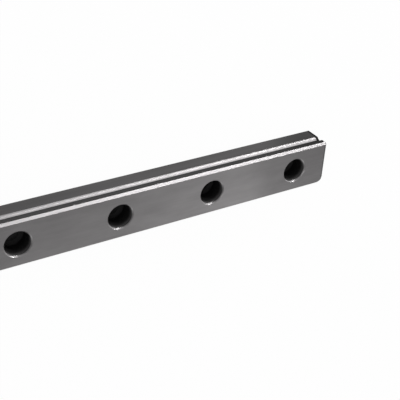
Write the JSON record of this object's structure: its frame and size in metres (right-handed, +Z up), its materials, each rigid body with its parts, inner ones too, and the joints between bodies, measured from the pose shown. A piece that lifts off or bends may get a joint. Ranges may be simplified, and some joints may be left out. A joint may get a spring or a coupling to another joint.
{
  "type": "profile linear guide rail",
  "caption": "Straight steel profile rail of a miniature ball guide, with a raceway along each side and a row of counterbored screw holes through the top.",
  "frame": {"origin": "middle of the base, at half the length and half the width", "axes": "+X along the rail, +Y across it, +Z up out of the counterbored face"},
  "size_m": [0.22, 0.012, 0.008],
  "materials": {
    "ground_steel": "hardened steel, fine ground lengthwise, with blank machined screw holes"
  },
  "bodies": {
    "root": {"guide_rail": "ground_steel"}
  },
  "joints": []
}
